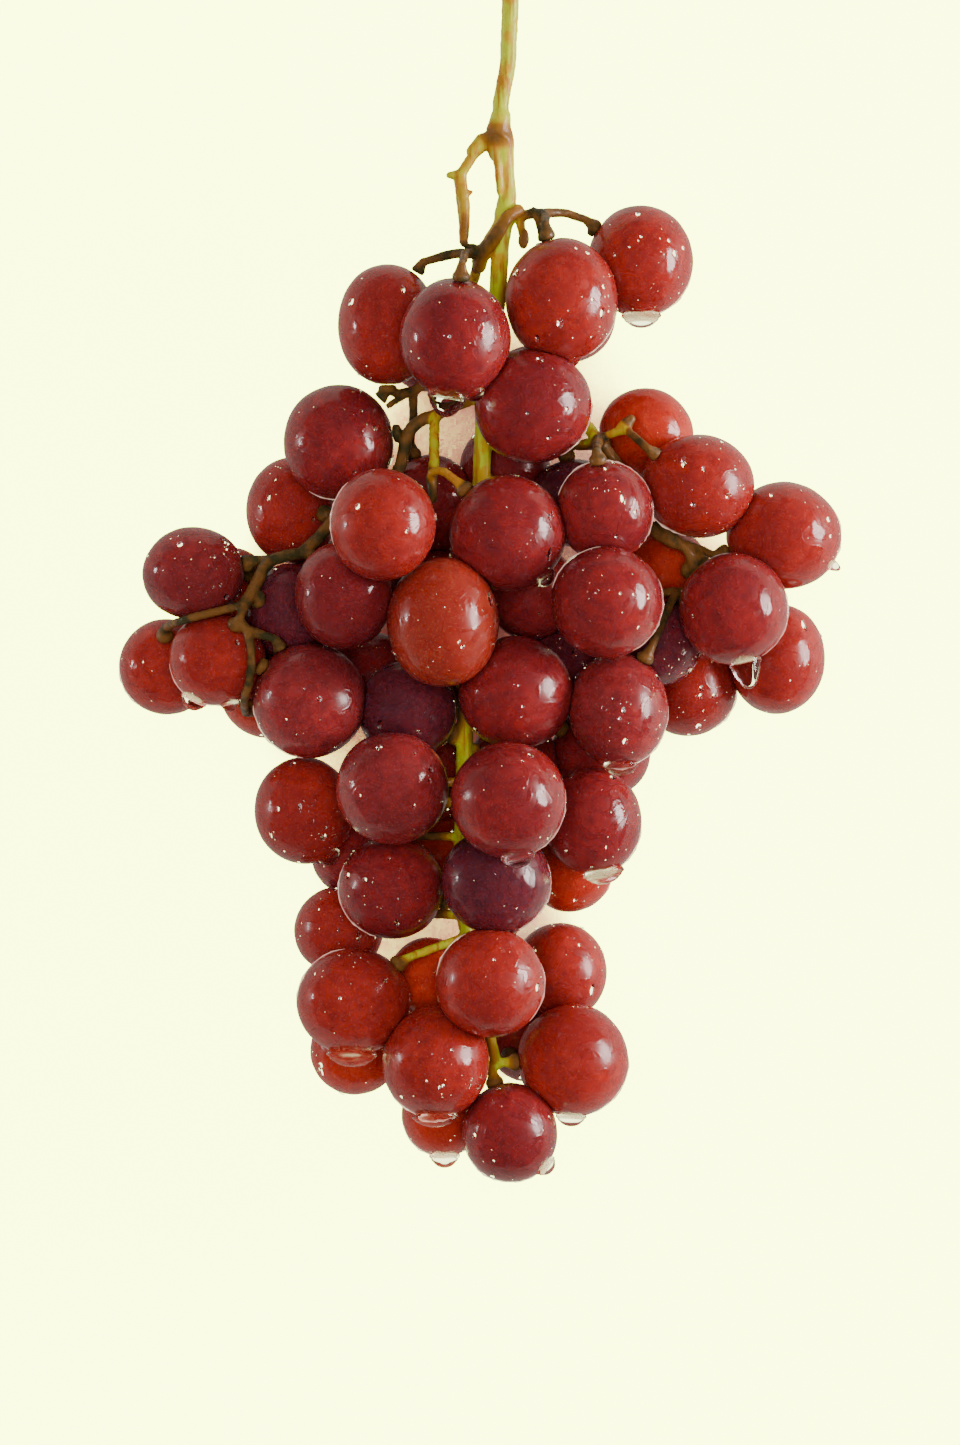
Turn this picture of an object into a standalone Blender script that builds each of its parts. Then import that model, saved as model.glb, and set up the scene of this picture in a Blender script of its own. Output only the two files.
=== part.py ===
"""A bunch of round red grapes lying on a table: its branched stem and its pressed berries.

The berries are let down on each other round the main stem, lightly pressed together, and then
fused. Each one hangs on a pedicel, which runs back to the main stem through the gaps between
the others. +Y runs towards the stem's cut end, +Z is up, and the origin is on the table under
the middle of the bunch. Places and sizes are in millimetres until a mesh is made.
"""

import heapq

import bmesh
import bpy
import numpy as np
from mathutils import Matrix, Vector

MM = 0.001

# Sizes of the stem
STALK_HEIGHT = 24.0
STALK_RADIUS = 1.9
LATERAL_RADIUS = 1.25
PEDICEL_RADIUS = 0.85
RECEPTACLE_RADIUS = 1.6
RECEPTACLE_LENGTH = 1.1
FLARE_LENGTH = 2.4
THICKENING = 0.3
TIP_SHARE = 0.7

# The main stem's radius along Y, from its tip to its cut end, with a swelling at each knot
STALK_TAPER = {
    -99: 1.1, -60: 1.6, 60: 1.8, 67: 1.7, 71: 2.2, 75: 1.7, 82: 1.7, 86: 2.3, 90: 1.6, 110: 1.6,
    123: 1.9,
}

# How deep touching berries press into each other, and how deep the table presses into one
PRESS = 1.5
FLAT_DEPTH = 0.45

# The clear gap between the stem and the berries
GAP = 0.35

# Facets of a berry, and the swelling that gives a faceted berry its round one's bulk
SIDES = 12
RINGS = 7
FACET_SWELL = 1.025

# Settling: rounds, the round in which the ties start to pull, and how far each thing moves a berry
ROUNDS = 400
TIE_START = 40
TIE_EVERY = 20
TIE_PULL = 0.35
LONGEST_PULL = 1.0
SINKING = 0.06
SINK_DEPTH = 3.0
HOLD = 0.08
LAST_ROUNDS = 60
LAST_HOLD = 0.024
PUSHES = 8
STALK_CLEARANCE = 0.45
STALK_STEP = 1.5

# The grid on which the hidden stems find their way, and the cost of a step by the room there
CELL = 2.0
MARGIN = 10.0
LOWEST_STEM = 2.0
HIGHEST_ROOT_Y = 60.0
ROOM_STEPS = [-3, 0, 1.2, 3, 5]
ROOM_COSTS = [60, 14, 1, 1, 2]
TIGHTEST_ROOM = -2.5
WIDEST_ROOM = 5.0
SOCKET_NEAR = 1.5
SOCKET_FAR = 4.0
SOCKET_ROOM = 2.2
SOCKET_COST = 6.0

# Easing: rounds of smoothing, how readily each kind of stem gives way to it, and its spare room
EASE_ROUNDS = 120
SHOWN_GIVE = 0.02
HIDDEN_GIVE = 0.3
TIP_GIVE = 0.001
EASE_PUSHES = 3
EASE_CLEARANCE = 0.2

# Points along a stem: the steps at which they are laid, and how far a tube may stray from them
MAIN_STEP = 4.0
ROUTE_STEP = 2.5
STRAY = 0.2
MAIN_SMOOTHNESS = 2
STEM_SMOOTHNESS = 1

# Colour, roughness
SKIN_FINISH = ((0.33, 0.018, 0.022, 1), 0.28)
STEM_FINISH = ((0.30, 0.27, 0.08, 1), 0.6)

# Berries that lie lowest: x, y, half width, half height
LYING = [
    (-10, 45.5, 9.2, 9.6), (19, 52, 9.2, 9.6), (10, 33, 9.4, 9.4), (-25, -58, 9, 9),
    (-29.5, -5, 9.4, 9.6), (-9.5, -5, 9.6, 9.6), (10.5, -5, 9.6, 9.6), (-21.5, -22.5, 9.6, 9.6),
    (-2, -23, 9.6, 9.6), (-11.5, -41, 9.6, 9.6), (7, -40.5, 9.4, 9.6), (6, 22, 9.2, 9.2),
    (34, 27, 9.6, 9.2), (37.5, -1, 9.2, 9.2), (62, -18, 9.8, 11.2), (41, -24.5, 10, 10),
    (19.5, 13, 9.2, 8.8), (17, -21, 9.2, 9.2), (-10, 14.5, 9.2, 10), (-38, 12.5, 9.4, 10.8),
    (-50, -5, 8.4, 9.2), (-63, -20, 9.6, 9.8), (-43, -25, 9.2, 9.4), (26.5, -37, 10, 9.6),
    (18.5, -60.5, 9, 9), (-7.5, -60, 9.8, 10), (-35, -49, 10, 10.8), (-28, -73, 9, 8.8),
    (17, -81, 9.6, 10), (-9, -83, 8.4, 8.6), (-25, -97.5, 9, 9.2), (-7, -110.5, 8.4, 8.4),
    (9.5, -97, 8, 8),
]

# Berries that lie on those, each listed after the ones that it is in front of
UPPER = [
    (-37, -9, 8.8, 10), (-13.5, -29, 10, 10), (36, -15, 9.2, 9.2), (-57, -1.5, 10.2, 9.4),
    (-52.5, -18.5, 9.8, 9.4), (-28, 25, 11.2, 11.6), (-18, 48.5, 10, 12.2), (32.5, 61.5, 10.6, 11.2),
    (10.5, 32, 11.8, 11.6), (44.5, 16, 11.4, 10.4), (61, 6.5, 11.6, 10.8), (25, 10.5, 9.8, 10.2),
    (7, -113, 9.6, 10), (-26.5, -6, 10, 10.8), (-33, -27, 11.4, 11.4), (7, -25, 11.4, 11.4),
    (28.5, -28.5, 10, 11.6), (51, -8.5, 11, 11.2), (6.5, 7, 11.6, 11.6), (25.5, -7, 11.2, 11.2),
    (-19, 7.5, 10.4, 11.2), (-7.5, -12, 11.2, 13), (23, -51, 9.8, 10.8), (3.5, -62, 11, 10.8),
    (-17.5, -64.5, 10.6, 10.4), (6, -47, 11.4, 11.6), (-17, -44, 11.2, 11.2),
    (-26, -87, 11.4, 10.8), (-8, -100, 10.8, 11.2), (18.5, -100, 11.2, 11.4), (2.5, -83.5, 11, 11),
    (-4.5, 45, 11, 12), (17, 53.5, 11.2, 12.6),
]

# Lowest berries that the bunch rests on, by their rows above
RESTING = (0, 4, 15, 25, 32)

# Where the table's middle lies under the bunch, in the places above
MIDDLE = (0.3, -0.4)

# The main stem from its cut end to its tip, as x, y
MAIN_STEM = [
    (6.5, 123), (6.5, 113), (6, 101), (4.5, 93), (5, 86), (5.5, 80), (6, 75), (4.5, 65), (4, 55),
    (2, 43), (1, 27), (0.5, 13), (-1, -7), (-2.5, -27), (-3, -47), (-3.5, -67), (0, -85), (3.5, -99),
]

# Stems that show: radius, the berry that each carries, by its row above, or None for a withered
# shoot, then places from where it branches off to its end, with the height of a withered end
SHOWN_STEMS = [
    (1.1, None, [(4.5, 87), (2, 85.5), (-1.5, 84), (-3, 79), (-3, 75), (-2.5, 70), (-3, 64.5, 26)]),
    (0.8, None, [(-3, 79), (-5, 78.2), (-6.6, 78.6, 25)]),
    (0.9, 40, [(6, 71.5), (10.5, 72), (13.5, 72), (16.5, 72), (20.5, 71), (23, 69)]),
    (0.8, 65, [(12.5, 72), (13, 69), (14, 66)]),
    (0.8, None, [(9, 71.5), (9.4, 68), (9, 65, 25)]),
    (1.0, 39, [(6, 71), (3.5, 67), (1, 63), (-2.5, 64), (-6.5, 63), (-10.5, 60.5), (-12, 59.5)]),
    (0.8, 64, [(-2.5, 64), (-3.5, 60), (-3.5, 56.5)]),
    (1.1, 0, [(1, 63), (0.5, 60), (-1.5, 56.5), (-4, 53)]),
    (0.8, 38, [(1.5, 39), (-5.5, 39), (-13, 37), (-16.5, 35.5), (-19.5, 34)]),
    (0.8, None, [(-13, 37), (-16, 34.3), (-18.4, 31.8, 30)]),
    (0.8, 18, [(-13, 37), (-13, 31), (-13, 23)]),
    (1.1, 36, [(1.5, 34), (-9, 31.5), (-16.8, 26.4), (-23, 19), (-28, 12), (-30.5, 7),
               (-35.5, 2), (-41.5, 1.5), (-46, 1)]),
    (0.8, 37, [(-41.5, 1.5), (-45, -6), (-48.5, -12)]),
    (0.8, None, [(-9, 31.5), (-8.8, 27), (-8.5, 21), (-9, 13, 36)]),
    (0.8, 51, [(-9, 16), (-12, 17.5), (-10.5, 20), (-8, 20.5), (-4.5, 17.5), (-3, 15.5)]),
    (1.1, 35, [(1, 25), (12.5, 33), (21.5, 30), (24, 26), (27, 22), (32.5, 15), (34.5, 11),
               (37.5, 8), (41.5, 5), (45.5, -0.5)]),
    (0.8, 16, [(24, 25), (20.5, 23.5), (18, 22.5)]),
    (0.8, 44, [(24, 25), (24, 20.5)]),
    (0.8, 42, [(24, 26), (27.5, 27.5), (30, 28), (31.5, 26), (34, 23), (36, 22)]),
    (0.8, None, [(30, 28), (30.4, 28.8), (30.8, 29.6, 27)]),
    (0.8, 43, [(41.5, 5), (46, 3.5), (49.5, 3)]),
]


def swept_points(points, step):
    """Points about one step apart along the straight runs between the given points."""
    points = np.asarray(points, float)
    swept = []
    for start, end in zip(points[:-1], points[1:]):
        count = max(1, round(np.linalg.norm(end - start) / step))
        swept += [start + (end - start) * k / count for k in range(count)]
    return np.array([*swept, points[-1]])


def main_stem_line(step):
    """The main stem's middle line, level above the table."""
    flat = swept_points(MAIN_STEM, step) - MIDDLE
    return np.column_stack([flat, np.full(len(flat), STALK_HEIGHT)])


def nearest_neighbour_ties(gaps):
    """Pairs that join all the berries by the smallest gaps between them."""
    joined = np.zeros(len(gaps), bool)
    joined[0] = True
    best = gaps[0].copy()
    partner = np.zeros(len(gaps), int)
    ties = []
    for _ in range(len(gaps) - 1):
        berry = int(np.where(joined, np.inf, best).argmin())
        ties.append((partner[berry], berry))
        joined[berry] = True
        nearer = gaps[berry] < best
        best[nearer] = gaps[berry][nearer]
        partner[nearer] = berry
    return np.array(ties).T


class Heap:
    """The berries as balls that settle round the main stem."""

    def __init__(self):
        rows = np.array(LYING + UPPER, float)
        self.homes = rows[:, :2] - MIDDLE
        self.radii = rows[:, 2:].mean(axis=1)
        self.sizes = np.column_stack([rows[:, 2:], self.radii])
        self.stalk = main_stem_line(STALK_STEP)
        self.touching = self.radii[:, None] + self.radii[None] - PRESS
        self.centres = self.stacked()
        self.settle()

    def stacked(self):
        """Each berry let down in turn until it meets the table, the stalk or an earlier berry."""
        centres = np.zeros((len(self.homes), 3))
        for number, (home, radius) in enumerate(zip(self.homes, self.radii)):
            height = radius - FLAT_DEPTH
            if number >= len(LYING):
                reach = radius + STALK_RADIUS
                off = np.linalg.norm(self.stalk[:, :2] - home, axis=1).min()
                if off < reach:
                    height = max(height, STALK_HEIGHT + np.sqrt(reach**2 - off**2))
            for other in range(number):
                reach = self.touching[number, other]
                off = np.linalg.norm(home - centres[other, :2])
                if off < reach:
                    height = max(height, centres[other, 2] + np.sqrt(reach**2 - off**2))
            centres[number] = (*home, height)
        return centres

    def pull_ties(self, one, two):
        """Tied berries that don't touch yet drawn towards each other."""
        between = self.centres[two] - self.centres[one]
        length = np.linalg.norm(between, axis=1)
        slack = np.clip(length - self.touching[one, two], 0, LONGEST_PULL)
        pull = between / length[:, None] * (TIE_PULL * slack)[:, None]
        np.add.at(self.centres, one, pull)
        np.add.at(self.centres, two, -pull)

    def push_apart(self, one, two):
        """Berries that press too deep pushed off each other."""
        between = self.centres[two] - self.centres[one]
        length = np.linalg.norm(between, axis=1)
        deep = self.touching[one, two] - length
        near = deep > 0
        push = between[near] / length[near, None] * (deep[near, None] / 2)
        np.add.at(self.centres, one[near], -push)
        np.add.at(self.centres, two[near], push)

    def push_off_stalk(self):
        """Berries pushed clear of the main stem."""
        off = self.centres[:, None] - self.stalk[None]
        length = np.linalg.norm(off, axis=2)
        closest = length.argmin(axis=1)
        every = np.arange(len(closest))
        length = length[every, closest]
        deep = self.radii + STALK_RADIUS + STALK_CLEARANCE - length
        self.centres += off[every, closest] * (np.maximum(deep, 0) / length)[:, None]

    def settle(self):
        """The berries drawn together, held near their places and kept on the table."""
        resting = list(RESTING)
        floor = self.radii - FLAT_DEPTH
        every_pair = np.triu_indices(len(self.homes), 1)
        for turn in range(ROUNDS):
            if turn % TIE_EVERY == 0:
                apart = np.linalg.norm(self.centres[:, None] - self.centres[None], axis=2)
                ties = nearest_neighbour_ties(np.maximum(apart - self.touching, 0))
            if turn > TIE_START:
                self.pull_ties(*ties)
            drop = np.clip((STALK_HEIGHT - self.centres[:, 2]) / SINK_DEPTH, -1, 1)
            self.centres[:, 2] += SINKING * drop * (1 - turn / ROUNDS)
            hold = HOLD if turn < ROUNDS - LAST_ROUNDS else LAST_HOLD
            self.centres[:, :2] += hold * (self.homes - self.centres[:, :2])
            for _ in range(PUSHES):
                self.push_apart(*every_pair)
                self.push_off_stalk()
                self.centres[:, 2] = np.maximum(self.centres[:, 2], floor)
                self.centres[resting, 2] = floor[resting]


class Stems:
    """The branched stem as points that each hang from an earlier point."""

    def __init__(self, heap):
        self.centres = heap.centres
        self.reach = heap.radii * FACET_SWELL
        self.stretch = heap.sizes / heap.sizes[:, 2:]
        self.points = []
        self.parents = []
        self.radii = []
        self.give = []
        self.tips = []
        self.sockets = {}

    def add(self, point, parent, radius, give):
        """A new point hanging from its parent, and its number."""
        self.points.append(np.asarray(point, float))
        self.parents.append(parent)
        self.radii.append(radius)
        self.give.append(give)
        return len(self.points) - 1

    def nearest(self, place):
        """The number of the point nearest to a place seen from above."""
        off = np.array(self.points)[:, :2] - place
        return int(np.linalg.norm(off, axis=1).argmin())

    def socket_line(self, number, towards):
        """The outward line to the skin under a place, or level where the place is beside it."""
        off = towards - self.centres[number][:2]
        rise = max(self.reach[number] ** 2 - off @ off, 0) ** 0.5
        line = np.array([*off, rise])
        return line / np.linalg.norm(line)

    def seat(self, number, line, last):
        """The flare and the receptacle that hold a berry at the end of its pedicel."""
        skin = self.reach[number] / np.linalg.norm(line / self.stretch[number]) + GAP
        for out, radius in (
            (FLARE_LENGTH, PEDICEL_RADIUS),
            (RECEPTACLE_LENGTH, RECEPTACLE_RADIUS * 0.8),
            (0.0, RECEPTACLE_RADIUS),
        ):
            last = self.add(self.centres[number] + line * (skin + out), last, radius, 0)
        self.tips.append(last)
        self.sockets[number] = line

    def add_main_stem(self):
        """The main stem, from its cut end to its tip."""
        last = None
        for point in main_stem_line(MAIN_STEP):
            radius = np.interp(point[1], list(STALK_TAPER), list(STALK_TAPER.values()))
            last = self.add(point, last, radius, 0)

    def add_shown(self, radius, number, route):
        """A stem that shows, along its own route, to its berry or to a withered end."""
        places = np.array([place[:2] for place in route]) - MIDDLE
        last = self.nearest(places[0])
        start = self.points[last][2]
        flat = swept_points(places, ROUTE_STEP)[1:]
        if number is None:
            end = route[-1][2]
        else:
            line = self.socket_line(number, places[-1])
            end = self.centres[number][2] + line[2] * (self.reach[number] + FLARE_LENGTH)
            flat = flat[:-1]
        for step, point in enumerate(flat, 1):
            height = start + (end - start) * step / len(flat)
            is_tip = number is None and step == len(flat)
            thick, give = (radius * TIP_SHARE, TIP_GIVE) if is_tip else (radius, SHOWN_GIVE)
            last = self.add((*point, height), last, thick, give)
        if number is not None:
            self.seat(number, line, last)

    def room_grid(self):
        """Places on a grid round the bunch, the grid's shape and the room at each place."""
        low = self.centres.min(axis=0) - MARGIN
        high = self.centres.max(axis=0) + MARGIN
        low[2] = LOWEST_STEM
        shape = tuple(int(count) for count in (high - low) / CELL + 1)
        grid = np.stack(np.indices(shape), axis=-1).reshape(-1, 3) * CELL + low
        room = np.full(len(grid), np.inf)
        for centre, reach, stretch in zip(self.centres, self.reach, self.stretch):
            off = np.linalg.norm((grid - centre) / stretch, axis=1)
            room = np.minimum(room, off - reach)
        return grid, shape, room

    def roots(self, low, shape):
        """The cells where a hidden stem may start, with the point that it would hang from."""
        for number, point in enumerate(self.points):
            spot = np.round((point - low) / CELL).astype(int)
            inside = (spot >= 0).all() and (spot < shape).all()
            if inside and number not in self.tips and point[1] < HIGHEST_ROOT_Y:
                yield int(np.ravel_multi_index(spot, shape)), number

    def free_ways(self, grid, shape, room):
        """The cheapest way back from each open cell: its cost, the cell before it and its root."""
        cost = np.interp(room, ROOM_STEPS, ROOM_COSTS).tolist()
        is_open = ((room > TIGHTEST_ROOM) & (room < WIDEST_ROOM)).tolist()
        rows, layer = shape[2], shape[1] * shape[2]
        hops = []
        for turn in np.ndindex(3, 3, 3):
            x, y, z = (int(side) - 1 for side in turn)
            if (x, y, z) != (0, 0, 0):
                hops.append((x, y, z, x * layer + y * rows + z, (x * x + y * y + z * z) ** 0.5))
        queue = [(0.0, cell, None, root) for cell, root in self.roots(grid[0], shape)]
        heapq.heapify(queue)
        ways = {}
        while queue:
            spent, cell, back, root = heapq.heappop(queue)
            if cell in ways:
                continue
            ways[cell] = (spent, back, root)
            i, j, k = cell // layer, cell // rows % shape[1], cell % rows
            for x, y, z, hop, run in hops:
                beside = cell + hop
                inside = 0 <= i + x < shape[0] and 0 <= j + y < shape[1] and 0 <= k + z < rows
                if inside and is_open[beside] and beside not in ways:
                    ahead = spent + run * (cost[cell] + cost[beside]) / 2
                    heapq.heappush(queue, (ahead, beside, cell, root))
        return ways

    def add_hidden(self):
        """A pedicel for each berry that has none yet, by the shortest free way to a stem."""
        grid, shape, room = self.room_grid()
        ways = self.free_ways(grid, shape, room)
        ends = []
        for number in range(len(self.centres)):
            if number not in self.sockets:
                away = np.linalg.norm(grid - self.centres[number], axis=1) - self.reach[number]
                shell = np.flatnonzero((away > SOCKET_NEAR) & (away < SOCKET_FAR))
                spent = {
                    int(cell): ways[cell][0] + SOCKET_COST * max(0, SOCKET_ROOM - room[cell])
                    for cell in shell
                    if cell in ways
                }
                cell = min(spent, key=spent.get)
                ends.append((ways[cell][0], number, cell))
        made = {}
        for _, number, end in sorted(ends):
            trail = []
            cell = end
            while cell is not None and cell not in made:
                trail.append(cell)
                cell = ways[cell][1]
            last = ways[trail[-1]][2] if cell is None else made[cell]
            for cell in reversed(trail):
                last = self.add(grid[cell], last, PEDICEL_RADIUS, HIDDEN_GIVE)
                made[cell] = last
            line = grid[end] - self.centres[number]
            self.seat(number, line / np.linalg.norm(line), last)

    def thicken(self):
        """Each stem as thick as the number of berries that it carries asks for."""
        carried = np.zeros(len(self.points))
        carried[self.tips] = 1
        for number in range(len(self.points) - 1, 0, -1):
            carried[self.parents[number]] += carried[number]
        for number, give in enumerate(self.give):
            if give and carried[number]:
                grown = PEDICEL_RADIUS * carried[number] ** THICKENING
                self.radii[number] = min(max(self.radii[number], grown), LATERAL_RADIUS)

    def ease(self):
        """Sharp turns rounded off, and every stem bent clear of the berries and the table."""
        points = np.array(self.points)
        free = np.flatnonzero(self.give)
        give = np.array(self.give)[free, None]
        clear = np.array(self.radii)[free, None] + self.reach + GAP + EASE_CLEARANCE
        one, two = np.array([(n, p) for n, p in enumerate(self.parents) if p is not None]).T
        for _ in range(EASE_ROUNDS):
            total = np.zeros_like(points)
            count = np.zeros(len(points))
            for start, end in ((one, two), (two, one)):
                np.add.at(total, start, points[end])
                np.add.at(count, start, 1)
            middle = total[free] / count[free, None]
            points[free] += give * (middle - points[free])
            for _ in range(EASE_PUSHES):
                off = points[free][:, None] - self.centres[None]
                length = np.linalg.norm(off / self.stretch[None], axis=2)
                deep = np.maximum(clear - length, 0)
                points[free] += (off * (deep / length)[..., None]).sum(axis=1)
                points[free, 2] = np.maximum(points[free, 2], LOWEST_STEM)
        self.points = list(points)

    def runs(self):
        """The stem as runs of points, each starting on the run that it branches from."""
        runs = []
        run_of = {}
        for number, parent in enumerate(self.parents):
            if parent is not None and runs[run_of[parent]][-1] == parent:
                runs[run_of[parent]].append(number)
                run_of[number] = run_of[parent]
            else:
                runs.append([number] if parent is None else [parent, number])
                run_of[number] = len(runs) - 1
        return runs


def needed_points(spots, anchors):
    """The places along a line that hold it in shape, its anchors among them."""
    needed = set(anchors)
    spans = list(zip(anchors[:-1], anchors[1:]))
    while spans:
        first, last = spans.pop()
        line = spots[last] - spots[first]
        off = spots[first:last] - spots[first]
        share = np.clip(off @ line / (line @ line), 0, 1)
        stray = np.linalg.norm(off - share[:, None] * line, axis=1)
        worst = int(stray.argmax())
        if stray[worst] > STRAY:
            needed.add(first + worst)
            spans += [(first, first + worst), (first + worst, last)]
    return sorted(needed)


def tube(name, points, radii, smoothness, collection):
    """A closed tube along the points."""
    curve = bpy.data.curves.new(name, "CURVE")
    curve.dimensions = "3D"
    curve.bevel_depth = MM
    curve.bevel_resolution = smoothness
    curve.use_fill_caps = True
    spline = curve.splines.new("POLY")
    spline.points.add(len(points) - 1)
    for target, point, radius in zip(spline.points, points, radii):
        target.co = (*(point * MM), 1)
        target.radius = radius
    guide = bpy.data.objects.new(name + "_line", curve)
    collection.objects.link(guide)
    graph = bpy.context.evaluated_depsgraph_get()
    mesh = bpy.data.meshes.new_from_object(guide.evaluated_get(graph))
    shape = bmesh.new()
    shape.from_mesh(mesh)
    bmesh.ops.remove_doubles(shape, verts=shape.verts, dist=1e-6)
    bmesh.ops.recalc_face_normals(shape, faces=shape.faces)
    shape.to_mesh(mesh)
    shape.free()
    piece = bpy.data.objects.new(name, mesh)
    piece.matrix_world = guide.matrix_world
    collection.objects.link(piece)
    bpy.data.objects.remove(guide)
    return piece


def berry(name, centre, size, line, collection):
    """A berry with its stem end on the line, cut to a small flat where it lies on the table."""
    turn = Vector((0, 0, 1)).rotation_difference(Vector(line)).to_matrix().to_4x4()
    stretch = Matrix.Diagonal((*(Vector(size) * FACET_SWELL * MM), 1))
    place = Matrix.Translation(Vector(centre) * MM) @ stretch @ turn
    shape = bmesh.new()
    bmesh.ops.create_uvsphere(shape, u_segments=SIDES, v_segments=RINGS, radius=1, matrix=place)
    if min(vert.co.z for vert in shape.verts) < 0:
        cut = bmesh.ops.bisect_plane(
            shape, geom=[*shape.verts, *shape.edges, *shape.faces], plane_no=(0, 0, 1),
            clear_inner=True,
        )
        rim = [part for part in cut["geom_cut"] if isinstance(part, bmesh.types.BMEdge)]
        bmesh.ops.contextual_create(shape, geom=rim)
    bmesh.ops.recalc_face_normals(shape, faces=shape.faces)
    mesh = bpy.data.meshes.new(name)
    shape.to_mesh(mesh)
    shape.free()
    piece = bpy.data.objects.new(name, mesh)
    collection.objects.link(piece)
    return piece


def fill_pockets(mesh):
    """Hollows that the fusing sealed are filled, by keeping the outer skin alone."""
    shape = bmesh.new()
    shape.from_mesh(mesh)
    unseen = set(shape.verts)
    skins = []
    while unseen:
        skin = [unseen.pop()]
        for vert in skin:
            for edge in vert.link_edges:
                other = edge.other_vert(vert)
                if other in unseen:
                    unseen.discard(other)
                    skin.append(other)
        skins.append(skin)
    skins.sort(key=len)
    for skin in skins[:-1]:
        bmesh.ops.delete(shape, geom=skin, context="VERTS")
    shape.to_mesh(mesh)
    shape.free()


def fused(name, pieces, finish, collection):
    """One closed solid from pieces that run into each other, in its finish."""
    rest = bpy.data.collections.new(name + "_pieces")
    bpy.context.scene.collection.children.link(rest)
    for piece in pieces[1:]:
        rest.objects.link(piece)
        collection.objects.unlink(piece)
    body = pieces[0]
    body.name = name
    union = body.modifiers.new("join", "BOOLEAN")
    union.operation = "UNION"
    union.operand_type = "COLLECTION"
    union.collection = rest
    union.solver = "EXACT"
    graph = bpy.context.evaluated_depsgraph_get()
    mesh = bpy.data.meshes.new_from_object(body.evaluated_get(graph))
    fill_pockets(mesh)
    mesh.name = name
    mesh.shade_smooth()
    mesh.set_sharp_from_angle(angle=0.9)
    mesh.materials.clear()
    mesh.materials.append(finish)
    body.modifiers.clear()
    body.data = mesh
    for piece in list(rest.objects):
        bpy.data.objects.remove(piece)
    bpy.data.collections.remove(rest)


def plain_finish(name, colour, roughness):
    """A plain material."""
    finish = bpy.data.materials.new(name)
    finish.use_nodes = True
    shader = finish.node_tree.nodes["Principled BSDF"]
    shader.inputs["Base Color"].default_value = colour
    shader.inputs["Roughness"].default_value = roughness
    return finish


def build_stem(stems, bunch):
    """The whole branched stem as one solid."""
    stems.add_main_stem()
    for row in SHOWN_STEMS:
        stems.add_shown(*row)
    stems.add_hidden()
    stems.thicken()
    stems.ease()
    runs = stems.runs()
    forks = {run[0] for run in runs}
    tubes = []
    for turn, run in enumerate(runs):
        smoothness = STEM_SMOOTHNESS if turn else MAIN_SMOOTHNESS
        ends = (0, len(run) - 1)
        anchors = [place for place, number in enumerate(run) if place in ends or number in forks]
        spots = np.array([(*stems.points[number], stems.radii[number]) for number in run])
        kept = spots[needed_points(spots, anchors)]
        tubes.append(tube(f"stem_{turn}", kept[:, :3], kept[:, 3], smoothness, bunch))
    fused("stem", tubes, plain_finish("stem", *STEM_FINISH), bunch)


def build_berries(heap, sockets, bunch):
    """All the berries as one solid, pressed together where they touch."""
    balls = [
        berry(f"berry_{number}", centre, size, sockets[number], bunch)
        for number, (centre, size) in enumerate(zip(heap.centres, heap.sizes))
    ]
    fused("berries", balls, plain_finish("berry_skin", *SKIN_FINISH), bunch)


def main():
    """The bunch in a collection of its own."""
    for old in list(bpy.data.objects):
        bpy.data.objects.remove(old)
    bunch = bpy.data.collections.new("bunch_of_grapes")
    bpy.context.scene.collection.children.link(bunch)
    heap = Heap()
    stems = Stems(heap)
    build_stem(stems, bunch)
    build_berries(heap, stems.sockets, bunch)


main()
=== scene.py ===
"""A bunch of wet red grapes that lies on a pale, softly lit table.

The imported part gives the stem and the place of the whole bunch. Here each berry gets its own
rounded, slightly uneven shape and its waxy skin, the stem gets its knots, cups and bark, and
water clings to the berries. Places and sizes are in millimetres until a mesh is made.
"""

import logging
from dataclasses import dataclass, field
from enum import Enum

import bmesh
import bpy
import numpy as np
from mathutils import Matrix, Vector, noise


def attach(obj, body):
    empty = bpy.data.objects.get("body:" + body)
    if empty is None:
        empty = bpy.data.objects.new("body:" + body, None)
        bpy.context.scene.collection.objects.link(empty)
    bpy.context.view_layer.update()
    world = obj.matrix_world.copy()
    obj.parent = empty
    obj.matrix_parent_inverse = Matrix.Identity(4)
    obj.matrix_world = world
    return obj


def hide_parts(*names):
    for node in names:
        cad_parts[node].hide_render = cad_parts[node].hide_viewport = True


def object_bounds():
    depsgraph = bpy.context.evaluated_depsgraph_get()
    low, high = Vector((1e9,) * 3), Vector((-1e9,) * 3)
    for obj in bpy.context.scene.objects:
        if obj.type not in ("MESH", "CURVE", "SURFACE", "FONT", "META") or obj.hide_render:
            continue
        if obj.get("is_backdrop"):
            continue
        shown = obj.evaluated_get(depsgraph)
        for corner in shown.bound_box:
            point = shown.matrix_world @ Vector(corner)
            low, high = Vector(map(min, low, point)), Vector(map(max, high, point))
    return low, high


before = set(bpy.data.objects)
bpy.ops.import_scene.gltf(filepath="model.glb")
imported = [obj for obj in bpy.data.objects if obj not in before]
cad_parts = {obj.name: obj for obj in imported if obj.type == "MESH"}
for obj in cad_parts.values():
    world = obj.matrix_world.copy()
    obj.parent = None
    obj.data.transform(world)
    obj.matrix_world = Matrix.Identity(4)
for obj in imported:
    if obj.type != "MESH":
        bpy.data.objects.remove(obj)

LOG = logging.getLogger("grapes")

MM = 0.001

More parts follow.
